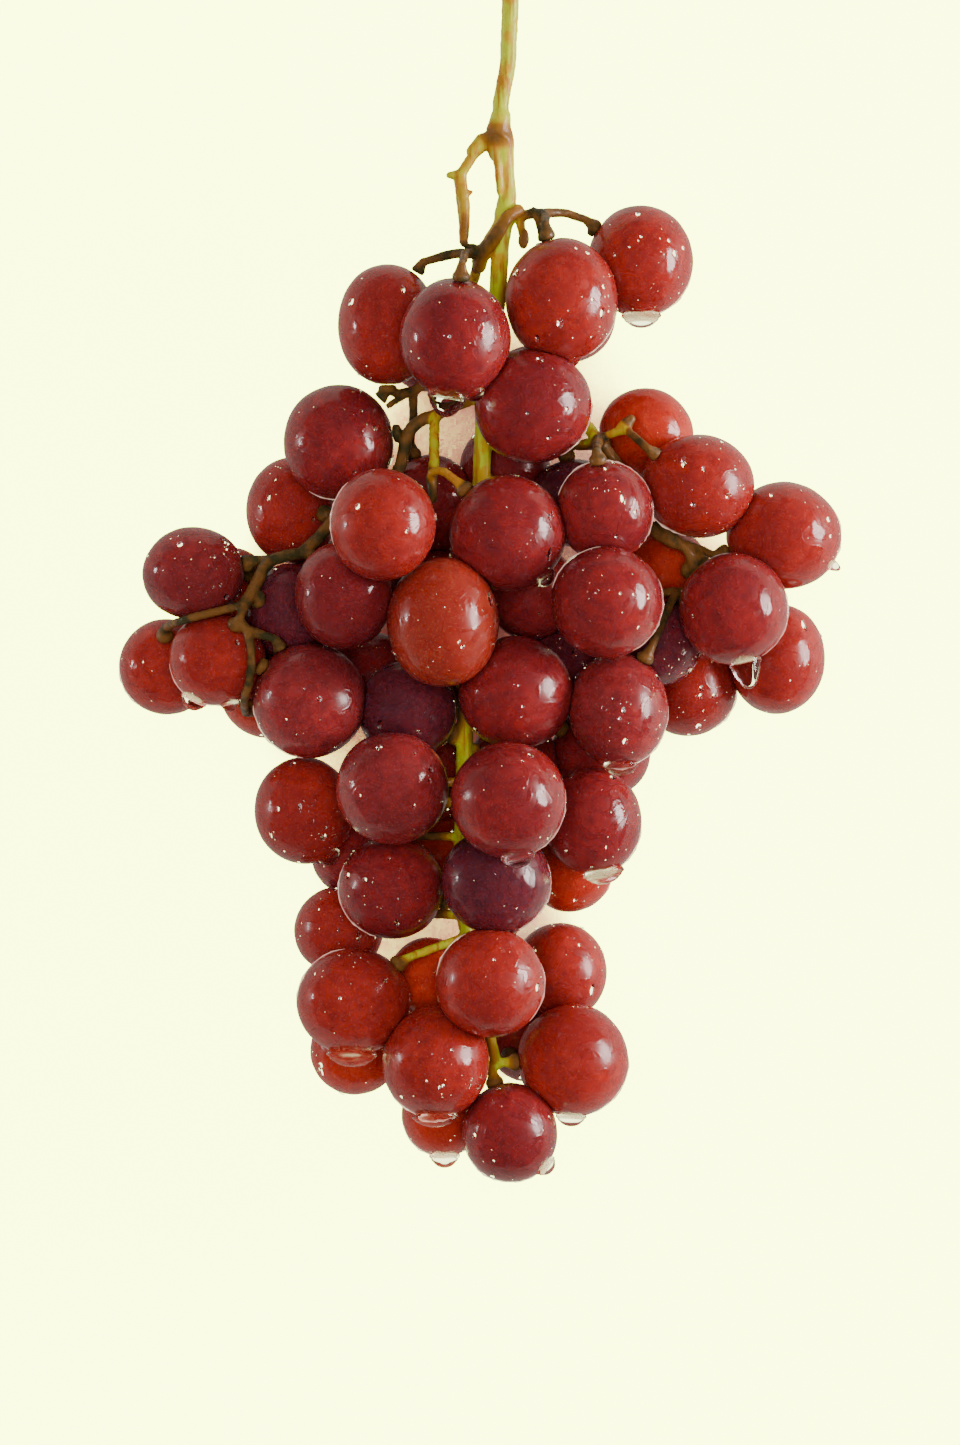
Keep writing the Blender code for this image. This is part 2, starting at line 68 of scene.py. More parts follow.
# Berries that lie lowest: x, y, half width, half height
LYING = [
    (-10, 45.5, 9.2, 9.6), (19, 52, 9.2, 9.6), (10, 33, 9.4, 9.4), (-25, -58, 9, 9),
    (-29.5, -5, 9.4, 9.6), (-9.5, -5, 9.6, 9.6), (10.5, -5, 9.6, 9.6), (-21.5, -22.5, 9.6, 9.6),
    (-2, -23, 9.6, 9.6), (-11.5, -41, 9.6, 9.6), (7, -40.5, 9.4, 9.6), (6, 22, 9.2, 9.2),
    (34, 27, 9.6, 9.2), (37.5, -1, 9.2, 9.2), (62, -18, 9.8, 11.2), (41, -24.5, 10, 10),
    (19.5, 13, 9.2, 8.8), (17, -21, 9.2, 9.2), (-10, 14.5, 9.2, 10), (-38, 12.5, 9.4, 10.8),
    (-50, -5, 8.4, 9.2), (-63, -20, 9.6, 9.8), (-43, -25, 9.2, 9.4), (26.5, -37, 10, 9.6),
    (18.5, -60.5, 9, 9), (-7.5, -60, 9.8, 10), (-35, -49, 10, 10.8), (-28, -73, 9, 8.8),
    (17, -81, 9.6, 10), (-9, -83, 8.4, 8.6), (-25, -97.5, 9, 9.2), (-7, -110.5, 8.4, 8.4),
    (9.5, -97, 8, 8),
]

# Berries that lie on those, each listed after the ones that it is in front of
UPPER = [
    (-37, -9, 8.8, 10), (-13.5, -29, 10, 10), (36, -15, 9.2, 9.2), (-57, -1.5, 10.2, 9.4),
    (-52.5, -18.5, 9.8, 9.4), (-28, 25, 11.2, 11.6), (-18, 48.5, 10, 12.2), (32.5, 61.5, 10.6, 11.2),
    (10.5, 32, 11.8, 11.6), (44.5, 16, 11.4, 10.4), (61, 6.5, 11.6, 10.8), (25, 10.5, 9.8, 10.2),
    (7, -113, 9.6, 10), (-26.5, -6, 10, 10.8), (-33, -27, 11.4, 11.4), (7, -25, 11.4, 11.4),
    (28.5, -28.5, 10, 11.6), (51, -8.5, 11, 11.2), (6.5, 7, 11.6, 11.6), (25.5, -7, 11.2, 11.2),
    (-19, 7.5, 10.4, 11.2), (-7.5, -12, 11.2, 13), (23, -51, 9.8, 10.8), (3.5, -62, 11, 10.8),
    (-17.5, -64.5, 10.6, 10.4), (6, -47, 11.4, 11.6), (-17, -44, 11.2, 11.2),
    (-26, -87, 11.4, 10.8), (-8, -100, 10.8, 11.2), (18.5, -100, 11.2, 11.4), (2.5, -83.5, 11, 11),
    (-4.5, 45, 11, 12), (17, 53.5, 11.2, 12.6),
]

# Lowest berries that the bunch rests on, by their rows above
RESTING = (0, 4, 15, 25, 32)

# Where the table's middle lies under the bunch, in the places above
MIDDLE = (0.3, -0.4)

# The main stem from its cut end to its tip, as x, y
MAIN_STEM = [
    (6.5, 123), (6.5, 113), (6, 101), (4.5, 93), (5, 86), (5.5, 80), (6, 75), (4.5, 65), (4, 55),
    (2, 43), (1, 27), (0.5, 13), (-1, -7), (-2.5, -27), (-3, -47), (-3.5, -67), (0, -85), (3.5, -99),
]

# The pixel of the photograph over the origin of the places above, and the size of a pixel
PHOTO_ORIGIN = (478.0, 566.0)
PIXEL = 0.2

# Settling, as in the part: how deep berries press, and how far each round moves one
PRESS = 1.5
FLAT_DEPTH = 0.45
STALK_HEIGHT = 24.0
STALK_RADIUS = 1.9
ROUNDS = 400
TIE_START = 40
TIE_EVERY = 20
TIE_PULL = 0.35
LONGEST_PULL = 1.0
SINKING = 0.06
SINK_DEPTH = 3.0
HOLD = 0.08
LAST_ROUNDS = 60
LAST_HOLD = 0.024
PUSHES = 8
STALK_CLEARANCE = 0.45
STALK_STEP = 1.5


class Tone(Enum):
    """The colours that a berry can have. Orange is partly the berry's own colour and partly a painted
    glow of light shining through it; purple is partly its own colour and partly painted shade.
    """

    WINE = "wine"
    RED = "red"
    ORANGE = "orange"
    PURPLE = "purple"
    ROSE = "rose"
    AMBER = "amber"


# Berries that aren't plain wine red, by their rows above
TONES = {
    # orange: own colour with a painted glow of light shining through the lowest berries; purple: own
    # colour with painted shade
    Tone.ORANGE: (12, 13, 20, 22, 24, 25, 29, 30, 31),
    Tone.PURPLE: (16, 17, 33, 34, 35, 56),
    Tone.RED: (14, 15, 19, 21, 26, 27, 28, 37, 39, 40, 42, 43, 53, 60, 61, 62, 63, 65),
    Tone.ROSE: (36, 47, 49, 59),
    Tone.AMBER: (54,),
}

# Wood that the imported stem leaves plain: x, y, height and radius along each stroke
TRIM = (
    ((4.3, 91, 24.1, 1.95), (3.8, 88.4, 24.3, 2.35), (3.4, 86, 24.3, 2.2), (3.6, 83.6, 24.2, 1.8)),
    ((3.2, 86.6, 24.4, 1.7), (0.3, 86.2, 24.5, 1.25), (-1.6, 83.9, 24.8, 1.1)),
    ((1.7, 88.6, 24.4, 0.4), (3.4, 87.9, 26.6, 0.4), (5.2, 86.7, 26.3, 0.4), (6.2, 85.6, 24.4, 0.4)),
    ((2.9, 84.8, 25.3, 0.75), (3.7, 80.6, 25.7, 0.7), (4.0, 76.2, 25.4, 0.6), (4.6, 73.8, 24.8, 0.5)),
    ((-3.9, 77.8, 24.9, 1.2), (-3.3, 73.5, 25.0, 1.3), (-3.0, 69, 25.3, 1.05), (-3.1, 65.4, 25.8, 0.8)),
    ((-2.9, 75.1, 25.2, 0.5), (-1.7, 75.7, 25.4, 0.42)),
    ((7.7, 72, 25.3, 1.3), (5.7, 70.7, 26.9, 1.25), (3.5, 67.2, 27.3, 1.35), (0.9, 63.4, 25.4, 1.5)),
    ((-1.6, 64.2, 25.3, 1.15), (0.6, 63.4, 25.0, 1.6), (0.0, 60.8, 24.0, 1.35)),
    ((9.1, 67.6, 25.0, 0.7), (8.9, 66.2, 25.2, 1.15), (8.8, 65.2, 25.3, 0.9)),
    ((10.8, 72, 25.2, 0.75), (11.8, 69.8, 26.2, 0.6), (12.3, 67.2, 27.8, 0.6), (12.9, 65.6, 29.5, 0.6)),
    ((28.4, 28.4, 27.5, 0.9), (29.6, 29.2, 27.9, 1.15), (30.4, 30.0, 27.7, 0.85)),
    ((24.8, 24.6, 25.4, 0.8), (26.2, 22.6, 25.8, 0.7), (27.6, 20.8, 25.0, 0.6)),
    ((36.0, 9.4, 24.1, 0.75), (39.4, 6.2, 24.4, 0.75), (42.0, 3.2, 24.6, 0.8), (42.9, 0.2, 24.2, 0.8)),
)

# The large drops: the pixel of the photograph where each leaves the skin, its width and how far
# it hangs out in pixels, and the berry's row
DROPS = (
    (448, 400, 36, 18, 64), (643, 312, 36, 9, 40), (562, 364, 32, 9, 65), (350, 1060, 46, 9, 60),
    (155, 712, 26, 9, 20), (190, 708, 26, 8, 37), (744, 664, 30, 24, 50), (816, 552, 12, 7, 43),
    (438, 1122, 42, 7, 61), (444, 1164, 28, 9, 31), (540, 1164, 24, 6, 45), (572, 1116, 28, 7, 62),
    (604, 876, 38, 8, 55), (620, 762, 32, 7, 49), (334, 866, 22, 7, 26), (498, 927, 36, 5, 56),
    (520, 862, 32, 8, 58), (345, 1100, 22, 6, 29), (782, 704, 30, 5, 24), (232, 706, 18, 6, 37),
    (552, 588, 24, 6, 51), (470, 380, 20, 5, 64),
)

# These rims are dressed in water with a painted glow, for the bright lines of light along the berries'
# edges.
# Water that gathers along the berries' edges: the berry's row, and from where to where round its
# middle in degrees, from the photograph's right side over its top
RIMS = (
    (47, 185, 268), (49, -95, 5), (58, -65, 12), (57, 155, 252), (56, -70, 22), (63, 118, 176),
    (63, -45, 22), (60, 98, 186), (52, -62, 25), (52, 95, 168), (50, -58, 22), (44, 20, 160),
    (44, -42, 16), (21, 170, 240), (37, 184, 300), (43, -45, 25), (40, -78, -10), (62, -72, 4),
    (61, 218, 290), (45, 205, 305), (31, 195, 262), (42, 178, 262), (38, 238, 292), (53, 128, 206),
    (55, -62, 0), (41, -60, 5), (65, -62, -12), (15, -60, 10), (24, -40, 20),
)

# The upper knot, which is old wood: middle and reach
KNOT = ((3.6, 87.2, 24.3), (4, 3, 4))

# Parts of the stem that are younger than the rest: middle, reach and age
YOUNG = (
    ((-9.0, 25.0, 29.0), (2.4, 9.0, 7.0), 0.27),
    ((-7.5, 18.5, 38.5), (5.5, 4.5, 4.0), 0.46),
    ((-10.0, -76.0, 24.0), (9.0, 5.0, 9.0), 0.20),
    ((21.0, 28.5, 24.0), (3.6, 4.0, 5.0), 0.05),
    ((28.0, 27.8, 27.0), (3.2, 2.6, 3.0), 0.36),
    ((-1.5, 56.5, 18.0), (4.0, 4.0, 9.0), 0.15),
)


def deselect() -> None:
    """Leave nothing selected."""
    bpy.ops.object.select_all(action="DESELECT")


def pick(piece: bpy.types.Object) -> None:
    """Select one piece alone and make it active.

    Args:
        piece: The piece that the next operator acts on.
    """
    deselect()
    piece.select_set(True)
    bpy.context.view_layer.objects.active = piece


def points_of(mesh: bpy.types.Mesh) -> np.ndarray:
    """The mesh's points.

    Args:
        mesh: Any mesh.

    Returns:
        One row of x, y, z for each vertex.
    """
    points = np.zeros(len(mesh.vertices) * 3)
    mesh.vertices.foreach_get("co", points)
    return points.reshape(-1, 3)


def set_points(mesh: bpy.types.Mesh, points: np.ndarray) -> None:
    """Move the mesh's points.

    Args:
        mesh: The mesh to change.
        points: One row of x, y, z for each vertex.
    """
    mesh.vertices.foreach_set("co", np.ascontiguousarray(points, float).ravel())
    mesh.update()


def select_between(piece: bpy.types.Object, low: float, high: float) -> None:
    """Select the vertices between two heights in edit mode.

    Args:
        piece: The piece in edit mode.
        low: The lower height.
        high: The upper height.
    """
    shape = bmesh.from_edit_mesh(piece.data)
    for vert in shape.verts:
        vert.select = low < vert.co.z < high
    shape.select_flush_mode()
    bmesh.update_edit_mesh(piece.data)


def apply_modifiers(piece: bpy.types.Object) -> None:
    """Apply every modifier of a piece, in order.

    Args:
        piece: The piece whose modifiers are applied.
    """
    pick(piece)
    for modifier in list(piece.modifiers):
        bpy.ops.object.modifier_apply(modifier=modifier.name)


def link_new(name: str, mesh: bpy.types.Mesh) -> bpy.types.Object:
    """A new object for a mesh.

    Args:
        name: The object's name.
        mesh: Its mesh, with its place in it.

    Returns:
        The object, in the scene.
    """
    piece = bpy.data.objects.new(name, mesh)
    bpy.context.scene.collection.objects.link(piece)
    return piece


def join_to(piece: bpy.types.Object, others: list[bpy.types.Object]) -> None:
    """Join pieces to one piece.

    Args:
        piece: The piece that stays.
        others: The pieces that go into it.
    """
    pick(piece)
    for other in others:
        other.select_set(True)
    bpy.ops.object.join()


def dress(piece: bpy.types.Object, finish: bpy.types.Material) -> None:
    """Give a piece its only material and let it ride on the bunch.

    Args:
        piece: The finished piece.
        finish: Its material.
    """
    piece.data.materials.clear()
    piece.data.materials.append(finish)
    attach(piece, "root")


def strand(rows: list[tuple]) -> bpy.types.Object:
    """A round strand along a path.

    Args:
        rows: x, y, height and radius at each point of the path, in millimetres.

    Returns:
        The strand's mesh object.
    """
    deselect()
    bpy.ops.curve.primitive_nurbs_path_add(location=(0, 0, 0))
    path = bpy.context.object
    path.data.splines.clear()
    line = path.data.splines.new("POLY")
    line.points.add(len(rows) - 1)
    for point, (x, y, z, radius) in zip(line.points, rows):
        point.co = (x * MM, y * MM, z * MM, 1)
        point.radius = radius
    path.data.bevel_depth = MM
    path.data.bevel_resolution = 3
    path.data.use_fill_caps = True
    bpy.ops.object.convert(target="MESH")
    return bpy.context.object


def turned(way: Vector) -> Matrix:
    """The turn that takes straight up to a direction.

    Args:
        way: The direction.

    Returns:
        A 3 by 3 turn.
    """
    return Vector((0, 0, 1)).rotation_difference(way).to_matrix()


def photo_place(u: float, v: float) -> tuple[float, float]:
    """The place on the table under a pixel of the photograph.

    Args:
        u: The pixel's column.
        v: The pixel's row.

    Returns:
        x and y in the bunch's frame.
    """
    x = (u - PHOTO_ORIGIN[0]) * PIXEL - MIDDLE[0]
    y = (PHOTO_ORIGIN[1] - v) * PIXEL - MIDDLE[1]
    return x, y


class Graph:
    """Shorthand for the nodes of a material or of a node group."""

    def __init__(self, tree: bpy.types.NodeTree) -> None:
        """Keep the tree that the nodes go into."""
        self.tree = tree

    def add(self, kind: str, inputs: dict | None = None, **settings: object) -> bpy.types.Node:
        """A node with its settings and inputs.

        Args:
            kind: The node's type without its ShaderNode prefix.
            inputs: Values or output sockets, by the name or number of the input.
            settings: The node's own properties.

        Returns:
            The new node.
        """
        node = self.tree.nodes.new("ShaderNode" + kind)
        for name, value in settings.items():
            setattr(node, name, value)
        self.feed(node, inputs or {})
        return node

    def feed(self, node: bpy.types.Node, inputs: dict) -> None:
        """Set or link a node's inputs.

        Args:
            node: The node.
            inputs: Values, colours or output sockets, by the name or number of the input.
        """
        for name, value in inputs.items():
            socket = node.inputs[name]
            if isinstance(value, bpy.types.NodeSocket):
                self.tree.links.new(value, socket)
            else:
                socket.default_value = (*value, 1) if socket.type == "RGBA" else value

    def rescale(
        self, value: bpy.types.NodeSocket, low: object, high: object, ends: tuple = (0, 1)
    ) -> bpy.types.NodeSocket:
        """A value's range turned into another one.

        Args:
            value: The socket that is followed.
            low: What the low end becomes, a number or a socket.
            high: What the high end becomes, a number or a socket.
            ends: The value's own low and high end.

        Returns:
            The result's socket.
        """
        inputs = {"Value": value, "From Min": ends[0], "From Max": ends[1]}
        inputs |= {"To Min": low, "To Max": high}
        return self.add("MapRange", inputs).outputs["Result"]

    def ramp(self, value: bpy.types.NodeSocket, stops: list[tuple]) -> bpy.types.NodeSocket:
        """A grey that follows a value.

        Args:
            value: The socket that is followed.
            stops: The two ends of the ramp, each a position and its grey.

        Returns:
            The ramp's colour socket.
        """
        node = self.add("ValToRGB", {"Fac": value})
        for element, (place, grey) in zip(node.color_ramp.elements, stops):
            element.position = place
            element.color = (grey, grey, grey, 1)
        return node.outputs["Color"]

    def group(
        self, tree: bpy.types.NodeTree, inputs: dict | None = None
    ) -> bpy.types.bpy_prop_collection:
        """A shared effect placed in this material.

        Args:
            tree: The effect's node group.
            inputs: The material's own values for the group's inputs, by name.

        Returns:
            The group's output sockets, by name.
        """
        return self.add("Group", inputs, node_tree=tree).outputs

    def bump(
        self, height: bpy.types.NodeSocket, strength: float, depth: float, under: dict | None = None
    ) -> bpy.types.NodeSocket:
        """A bump that follows a height.

        Args:
            height: The height's socket.
            strength: How much of the bump shows.
            depth: Its depth in metres.
            under: The normal of a bump that lies under it, as an input.

        Returns:
            The normal's socket.
        """
        inputs = {"Height": height, "Strength": strength, "Distance": depth}
        return self.add("Bump", inputs | (under or {})).outputs["Normal"]

    def mix(self, share: bpy.types.NodeSocket, one: object, two: object) -> bpy.types.NodeSocket:
        """A blend of two colours.

        Args:
            share: How much of the second colour.
            one: The first colour, a tuple or a socket.
            two: The second colour, a tuple or a socket.

        Returns:
            The blended colour's socket.
        """
        return self.add("Mix", {0: share, 6: one, 7: two}, data_type="RGBA").outputs[2]


def new_group(
    name: str, inputs: dict[str, float], outputs: tuple[str, ...]
) -> tuple[Graph, object, bpy.types.Node]:
    """An empty shader node group with named number sockets.

    Args:
        name: The group's name.
        inputs: Default values of its inputs, by name.
        outputs: Names of its outputs.

    Returns:
        The group's graph, its input sockets and its output node.
    """
    group = bpy.data.node_groups.new(name, "ShaderNodeTree")
    for title, value in inputs.items():
        made = group.interface.new_socket(name=title, in_out="INPUT", socket_type="NodeSocketFloat")
        made.default_value = value
    for title in outputs:
        group.interface.new_socket(name=title, in_out="OUTPUT", socket_type="NodeSocketFloat")
    inward = group.nodes.new("NodeGroupInput")
    return Graph(group), inward.outputs, group.nodes.new("NodeGroupOutput")


class Effects:
    """The shader node groups that several finishes share."""

    def __init__(self) -> None:
        """Build every group once."""
        self.mottle = self.build_mottle()
        self.grain = self.build_grain()
        self.film = self.build_film()

    def build_mottle(self) -> bpy.types.NodeTree:
        """Soft patches and fine pores, as on fruit skin.

        Returns:
            A group that puts out a patch mask, a pore mask and a height.
        """
        sizes = {"Patch Scale": 90.0, "Patch Detail": 4.0, "Pore Scale": 1500.0}
        graph, size, outward = new_group("mottle", sizes, ("Patches", "Pores", "Height"))
        place = graph.add("TexCoord").outputs["Object"]
        patch = graph.add(
            "TexNoise",
            {"Vector": place, "Scale": size["Patch Scale"], "Detail": size["Patch Detail"],
             "Roughness": 0.6, "Distortion": 0.4},
        ).outputs["Fac"]
        pore = graph.add("TexVoronoi", {"Vector": place, "Scale": size["Pore Scale"]})
        spots = graph.rescale(pore.outputs["Distance"], 1, 0, (0.05, 0.3))
        height = graph.add("Math", {0: patch, 1: spots}, operation="MULTIPLY").outputs[0]
        patches = graph.rescale(patch, 0, 1, (0.25, 0.75))
        graph.feed(outward, {"Patches": patches, "Pores": spots, "Height": height})
        return graph.tree

    def build_grain(self) -> bpy.types.NodeTree:
        """Streaks and blotches that run along the bunch, as on green wood.

        Returns:
            A group that puts out a streak mask, a blotch mask and a height.
        """
        sizes = {"Scale": 900.0, "Stretch": 0.12}
        graph, size, outward = new_group("grain", sizes, ("Streaks", "Blotches", "Height"))
        place = graph.add("TexCoord").outputs["Object"]
        stretch = graph.add("CombineXYZ", {"X": 1.0, "Y": size["Stretch"], "Z": 1.0}).outputs[0]
        along = graph.add("VectorMath", {0: place, 1: stretch}, operation="MULTIPLY").outputs[0]
        streak = graph.add(
            "TexNoise", {"Vector": along, "Scale": size["Scale"], "Detail": 5.0}
        ).outputs["Fac"]
        blotch = graph.add("TexNoise", {"Vector": place, "Scale": 260.0, "Detail": 6.0}).outputs["Fac"]
        height = graph.add("Math", {0: streak, 1: blotch}, operation="ADD").outputs[0]
        streaks = graph.rescale(streak, 0, 1, (0.42, 0.62))
        blotches = graph.rescale(blotch, 0, 1, (0.45, 0.62))
        graph.feed(outward, {"Streaks": streaks, "Blotches": blotches, "Height": height})
        return graph.tree

    def build_film(self) -> bpy.types.NodeTree:
        """Patches of thin water with soft edges.

        Returns:
            A group that puts out a mask of the wet patches and their height.
        """
        graph, size, outward = new_group("film", {"Scale": 210.0}, ("Wet", "Height"))
        place = graph.add("TexCoord").outputs["Object"]
        run = graph.add(
            "TexNoise",
            {"Vector": place, "Scale": size["Scale"], "Detail": 0.9, "Distortion": 1.6},
        ).outputs["Fac"]
        wet = graph.rescale(run, 0, 1, (0.46, 0.56))
        height = graph.add("Math", {0: run, 1: wet}, operation="ADD").outputs[0]
        graph.feed(outward, {"Wet": wet, "Height": height})
        return graph.tree


def principled(name: str) -> tuple[bpy.types.Material, Graph, bpy.types.Node]:
    """A new material.

    Args:
        name: The material's name.

    Returns:
        The material, its graph and its Principled shader.
    """
    material = bpy.data.materials.new(name)
    material.use_nodes = True
    graph = Graph(material.node_tree)
    return material, graph, material.node_tree.nodes["Principled BSDF"]


@dataclass(frozen=True)
class SkinFinish:
    """A grape's skin: its colours, and how far light goes into it."""

    tone: Tone
    deep: tuple[float, float, float]
    bright: tuple[float, float, float]
    fleck: tuple[float, float, float]
    depth: float = 0.006
    softness: float = 0.30
    gloss: float = 0.14
    wetness: float = 0.3

    def material(self, effects: Effects) -> bpy.types.Material:
        """The finish as a material.

        Args:
            effects: The shared node groups.

        Returns:
            The material.
        """
        material, graph, shader = principled("skin_" + self.tone.value)
        mottle = graph.group(effects.mottle, {"Patch Scale": 420.0})
        cloud = graph.group(effects.mottle, {"Patch Scale": 62.0, "Patch Detail": 0.6})
        film = graph.group(effects.film)
        base = graph.mix(mottle["Patches"], self.deep, self.bright)
        base = graph.mix(graph.ramp(cloud["Patches"], [(0.3, 0.0), (0.8, 0.6)]), base, self.deep)
        base = graph.mix(graph.ramp(mottle["Pores"], [(0.0, 0.0), (1.0, 0.35)]), base, self.fleck)
        gloss = graph.ramp(film["Wet"], [(0.0, self.softness), (1.0, self.gloss)])
        pores = graph.bump(mottle["Height"], 0.05, 0.0002)
        graph.feed(shader, {
            "Base Color": base,
            "Roughness": gloss,
            "Normal": graph.bump(film["Height"], 0.25, 0.00016, {"Normal": pores}),
            "Specular IOR Level": 0.38,
            "Subsurface Weight": 0.85,
            "Subsurface Radius": (1.0, 0.12, 0.06),
            "Subsurface Scale": self.depth,
            "Coat Weight": self.wetness,
            "Coat Roughness": 0.12,
            "Coat IOR": 1.36,
        })
        return material


@dataclass(frozen=True)
class StemFinish:
    """Green wood that turns brown where it is old or dry, by the stem's own age attribute."""

    name: str
    green: tuple[float, float, float]
    ochre: tuple[float, float, float]
    streak: tuple[float, float, float]
    brown: tuple[float, float, float]
    dark: tuple[float, float, float]
    roughness: float = 0.5

    def material(self, effects: Effects) -> bpy.types.Material:
        """The finish as a material.

        Args:
            effects: The shared node groups.

        Returns:
            The material.
        """
        material, graph, shader = principled(self.name)
        grain = graph.group(effects.grain)
        age = graph.add("Attribute", attribute_name="age").outputs["Fac"]
        blotches = graph.ramp(grain["Blotches"], [(0.2, 0.0), (0.9, 0.8)])
        streaks = graph.ramp(grain["Streaks"], [(0.4, 0.0), (1.0, 0.8)])
        young = graph.mix(streaks, graph.mix(blotches, self.green, self.ochre), self.streak)
        old = graph.mix(grain["Blotches"], self.brown, self.dark)
        dry = graph.mix(graph.ramp(age, [(0.15, 0.0), (0.5, 0.9)]), young, self.streak)
        base = graph.mix(graph.ramp(age, [(0.4, 0.0), (0.8, 1.0)]), dry, old)
        rough = [(0.0, self.roughness - 0.1), (1.0, self.roughness + 0.15)]
        graph.feed(shader, {
            "Base Color": base,
            "Roughness": graph.ramp(grain["Streaks"], rough),
            "Normal": graph.bump(grain["Height"], 0.5, 0.0002),
            "Subsurface Weight": 0.3,
            "Subsurface Radius": (1.0, 0.8, 0.2),
            "Subsurface Scale": 0.001,
            "Specular IOR Level": 0.3,
            "Coat Weight": 0.12,
            "Coat Roughness": 0.15,
        })
        return material


@dataclass(frozen=True)
class WaterFinish:
    """Clear water, which can also glow with a painted warm light of its own."""

    name: str = "water"
    glow: float = 0.0

    def material(self) -> bpy.types.Material:
        """The finish as a material.

        Returns:
            The material.
        """
        material, graph, shader = principled(self.name)
        graph.feed(shader, {
            "Base Color": (1.0, 1.0, 1.0),
            "Roughness": 0.0,
            "IOR": 1.333,
            "Transmission Weight": 1.0,
            # painted glow, standing in for light that shines through the water
            "Emission Color": (1.0, 0.66, 0.52),
            "Emission Strength": self.glow,
        })
        return material


SKINS = (
    SkinFinish(Tone.WINE, (0.125, 0.011, 0.015), (0.28, 0.020, 0.019), (0.40, 0.08, 0.07)),
    SkinFinish(Tone.RED, (0.19, 0.013, 0.013), (0.37, 0.026, 0.017), (0.52, 0.12, 0.06)),
    # orange skin: own colour with a painted glow of light shining through
    SkinFinish(Tone.ORANGE, (0.27, 0.015, 0.010), (0.45, 0.035, 0.012), (0.66, 0.15, 0.05), 0.010),
    # purple skin: own colour with painted shade
    SkinFinish(Tone.PURPLE, (0.060, 0.010, 0.018), (0.15, 0.018, 0.026), (0.28, 0.07, 0.08)),
    SkinFinish(Tone.ROSE, (0.13, 0.013, 0.016), (0.30, 0.028, 0.029), (0.46, 0.13, 0.12)),
    SkinFinish(Tone.AMBER, (0.22, 0.017, 0.013), (0.33, 0.038, 0.018), (0.55, 0.20, 0.07)),
)
BARK = StemFinish(
    name="stem_bark",
    green=(0.44, 0.50, 0.018),
    ochre=(0.52, 0.27, 0.010),
    streak=(0.34, 0.12, 0.010),
    brown=(0.15, 0.065, 0.015),
    dark=(0.035, 0.030, 0.010),
)


@dataclass
class Berry:
    """One berry's place, size and stem end."""

    number: int
    centre: Vector
    size: Vector
    way: Vector = field(default_factory=lambda: Vector((0, 0, 1)))
    tone: Tone = Tone.WINE
    skin: np.ndarray = field(default_factory=lambda: np.zeros((0, 3)))

    def reach(self, way: Vector) -> float:
        """How far the skin lies from the centre in a direction.

        Args:
            way: A unit vector.

        Returns:
            The distance.
        """
        return 1 / Vector([part / size for part, size in zip(way, self.size)]).length

    def on_skin(self, way: Vector) -> Vector:
        """The place on the finished skin that lies furthest in a direction.

        Args:
            way: A unit vector.

        Returns:
            The place.
        """
        off = self.skin - np.array(self.centre)
        off /= np.linalg.norm(off, axis=1)[:, None]
        return Vector(self.skin[(off @ np.array(way)).argmax()])


